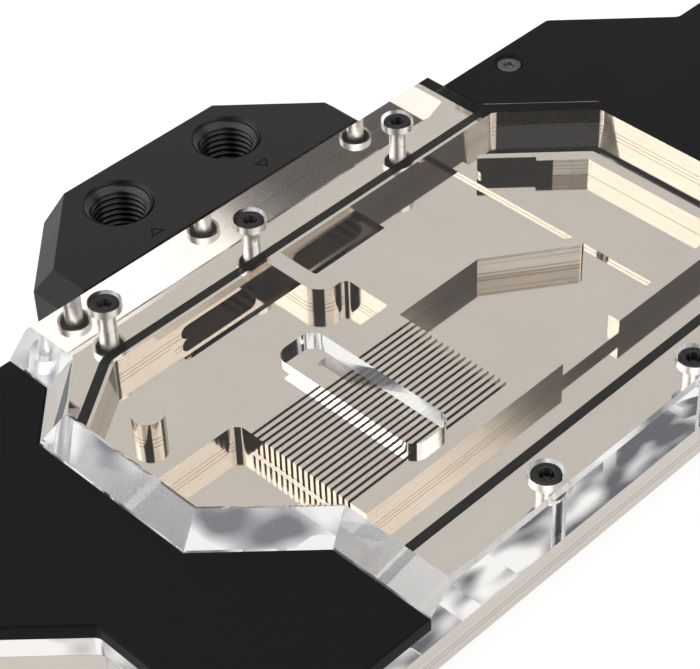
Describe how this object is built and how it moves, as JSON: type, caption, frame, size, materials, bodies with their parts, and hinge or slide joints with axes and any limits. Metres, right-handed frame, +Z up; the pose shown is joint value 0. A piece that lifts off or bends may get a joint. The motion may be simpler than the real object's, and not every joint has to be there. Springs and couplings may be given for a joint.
{
  "type": "gpu water block",
  "caption": "Full-cover liquid cooling block for a graphics card: milled plated base with fins and channels under a clear cover, dark end plates and a terminal with threaded ports.",
  "frame": {"origin": "centre of the base plate's contact face for the graphics chip, on the plane of the pad and the board bosses", "axes": "+X along the card towards its right end, +Y to the rear with the ports, +Z up from the board through the clear cover"},
  "size_m": [0.25, 0.1241, 0.0201],
  "materials": {
    "nickel_plate": "fine milled, nickel plated",
    "clear_acrylic": "polished, clear",
    "black_rubber": "matt",
    "black_plate": "black anodised",
    "black_terminal": "fine machined",
    "black_screw": "black oxide"
  },
  "bodies": {
    "root": {"base_plate": "nickel_plate", "clear_cover": "clear_acrylic", "main_seal": "black_rubber", "left_plate": "black_plate", "right_plate": "black_plate", "terminal_block": "black_terminal", "terminal_gasket": "black_rubber", "cover_screw_front_1": "black_screw", "cover_screw_front_2": "black_screw", "cover_screw_front_3": "black_screw", "cover_screw_rear_1": "black_screw", "cover_screw_rear_2": "black_screw", "cover_screw_rear_3": "black_screw", "plate_screw_left_1": "black_screw", "plate_screw_left_2": "black_screw", "plate_screw_right_1": "black_screw", "plate_screw_right_2": "black_screw", "plate_screw_right_3": "black_screw", "terminal_screw_1": "black_screw", "terminal_screw_2": "black_screw"}
  },
  "joints": []
}
